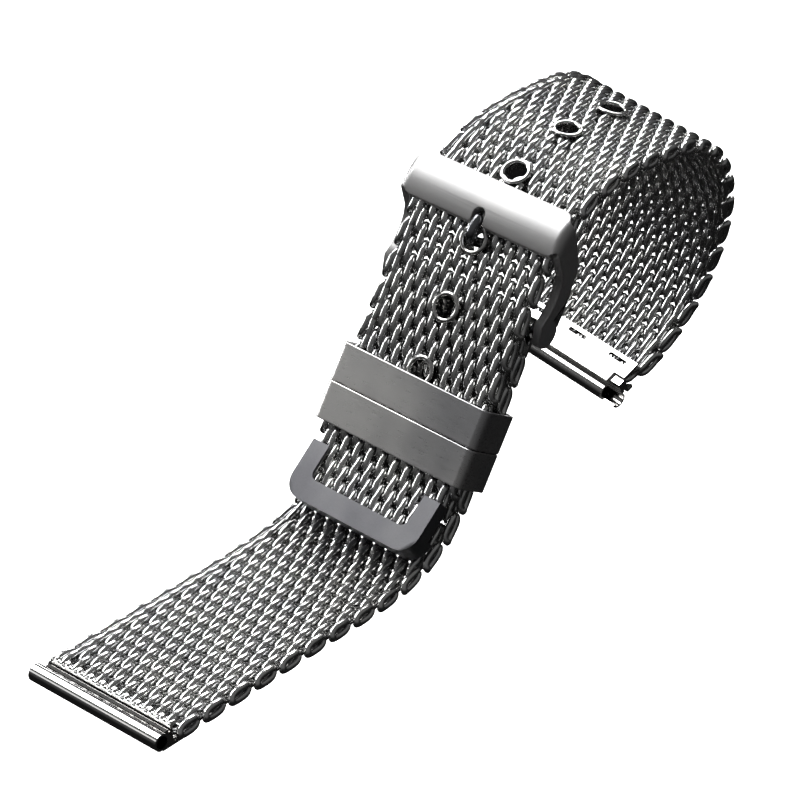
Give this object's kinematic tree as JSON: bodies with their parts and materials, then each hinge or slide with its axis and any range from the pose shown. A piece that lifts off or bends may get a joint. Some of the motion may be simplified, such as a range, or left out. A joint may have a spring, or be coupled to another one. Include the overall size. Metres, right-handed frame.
{
  "type": "woven mesh watch bracelet",
  "caption": "Two-piece woven wire mesh watch bracelet with pin buckle, rolled eyelets, sliding keepers and lug tubes, shown fastened.",
  "frame": {"origin": "middle of the bore of the short strap's lug tube", "axes": "+X along the flat short strap away from its lug tube, +Y along the lug bore, +Z away from the wrist"},
  "size_m": [0.1014, 0.0309, 0.0418],
  "materials": {
    "mesh_wire": "polished stainless wire",
    "satin_band": "satin brushed",
    "matt_cap": "bead blasted",
    "dark_pin": "polished",
    "edge_strip": "pressed",
    "polished": "polished stainless steel"
  },
  "bodies": {
    "overlap": {"short_mesh_7": "mesh_wire", "short_mesh_8": "mesh_wire", "short_mesh_9": "mesh_wire", "long_mesh_1": "mesh_wire", "long_mesh_2": "mesh_wire", "long_mesh_3": "mesh_wire", "long_mesh_4": "mesh_wire", "long_mesh_5": "mesh_wire", "long_mesh_6": "mesh_wire", "tip_cap": "matt_cap", "eyelet_1": "polished", "eyelet_2": "polished", "eyelet_3": "polished", "eyelet_4": "polished", "pin_end": "polished", "pin_bar": "dark_pin"},
    "short_1": {"short_mesh_6": "mesh_wire"},
    "short_2": {"short_mesh_5": "mesh_wire"},
    "short_3": {"short_mesh_4": "mesh_wire"},
    "short_4": {"short_mesh_3": "mesh_wire"},
    "short_5": {"short_mesh_2": "mesh_wire"},
    "short_6": {"short_mesh_1": "mesh_wire", "short_lug_end": "polished", "short_edge_strip": "edge_strip"},
    "long_1": {"long_mesh_7": "mesh_wire", "eyelet_5": "polished"},
    "long_2": {"long_mesh_8": "mesh_wire", "eyelet_6": "polished"},
    "long_3": {"long_mesh_9": "mesh_wire"},
    "long_4": {"long_mesh_10": "mesh_wire"},
    "long_5": {"long_mesh_11": "mesh_wire"},
    "long_6": {"long_mesh_12": "mesh_wire"},
    "long_7": {"long_mesh_13": "mesh_wire", "long_mesh_14": "mesh_wire", "long_lug_end": "polished", "long_edge_strip": "edge_strip"},
    "upper_keeper": {"keeper_upper": "satin_band"},
    "lower_keeper": {"keeper_lower": "satin_band"},
    "tang": {"tang": "dark_pin"},
    "buckle": {"buckle_frame": "polished"}
  },
  "joints": [
    {"name": "short_link_1", "type": "hinge", "parent": "overlap", "child": "short_1", "pos_m": [0.04723, -0.00028, 0.00621], "axis": [-0.0162, 0.998, 0.0605], "range_deg": [-6, 0]},
    {"name": "short_link_2", "type": "hinge", "parent": "short_1", "child": "short_2", "pos_m": [0.0416, -0.00005, 0.00104], "axis": [-0.0029, 0.9991, 0.0413], "range_deg": [-6, 0]},
    {"name": "short_link_3", "type": "hinge", "parent": "short_2", "child": "short_3", "pos_m": [0.03409, 0, -0.00059], "axis": [0.0001, 0.9998, 0.0178], "range_deg": [-6, 1]},
    {"name": "short_link_4", "type": "hinge", "parent": "short_3", "child": "short_4", "pos_m": [0.02635, 0, -0.00062], "axis": [0, 1, 0], "range_deg": [-8, 6]},
    {"name": "short_link_5", "type": "hinge", "parent": "short_4", "child": "short_5", "pos_m": [0.01861, 0, -0.00053], "axis": [0, 1, 0], "range_deg": [-8, 6]},
    {"name": "short_link_6", "type": "hinge", "parent": "short_5", "child": "short_6", "pos_m": [0.01087, 0, -0.00043], "axis": [0, 1, 0], "range_deg": [-8, 6]},
    {"name": "long_link_1", "type": "hinge", "parent": "overlap", "child": "long_1", "pos_m": [0.07072, -0.00161, 0.03706], "axis": [-0.0573, 0.9929, 0.1043], "range_deg": [-8, 5]},
    {"name": "long_link_2", "type": "hinge", "parent": "long_1", "child": "long_2", "pos_m": [0.08033, -0.00102, 0.03704], "axis": [-0.0596, 0.9886, 0.1386], "range_deg": [-8, 5]},
    {"name": "long_link_3", "type": "hinge", "parent": "long_2", "child": "long_3", "pos_m": [0.08964, -0.00011, 0.03473], "axis": [-0.0527, 0.9836, 0.1724], "range_deg": [-8, 5]},
    {"name": "long_link_4", "type": "hinge", "parent": "long_3", "child": "long_4", "pos_m": [0.09555, 0.00107, 0.02997], "axis": [-0.0375, 0.98, 0.1953], "range_deg": [-8, 5]},
    {"name": "long_link_5", "type": "hinge", "parent": "long_4", "child": "long_5", "pos_m": [0.09884, 0.00258, 0.02319], "axis": [-0.0139, 0.9777, 0.2096], "range_deg": [-8, 5]},
    {"name": "long_link_6", "type": "hinge", "parent": "long_5", "child": "long_6", "pos_m": [0.09893, 0.0042, 0.01568], "axis": [0.013, 0.9785, 0.206], "range_deg": [-8, 5]},
    {"name": "long_link_7", "type": "hinge", "parent": "long_6", "child": "long_7", "pos_m": [0.09596, 0.00566, 0.00873], "axis": [0.0342, 0.9821, 0.1855], "range_deg": [-8, 5]},
    {"name": "tang_pivot", "type": "hinge", "parent": "overlap", "child": "tang", "pos_m": [0.05901, -0.00118, 0.02415], "axis": [0.021, -0.9977, -0.064], "range_deg": [0, 3]},
    {"name": "buckle_pivot", "type": "hinge", "parent": "overlap", "child": "buckle", "pos_m": [0.05901, -0.00118, 0.02415], "axis": [0.021, -0.9977, -0.064], "range_deg": [0, 4]},
    {"name": "upper_keeper_slide", "type": "slide", "parent": "overlap", "child": "upper_keeper", "axis": [0.5485, -0.042, 0.8351], "range_m": [0, 0.005]},
    {"name": "lower_keeper_slide", "type": "slide", "parent": "overlap", "child": "lower_keeper", "axis": [0.5485, -0.042, 0.8351], "range_m": [-0.0006, 0]}
  ]
}
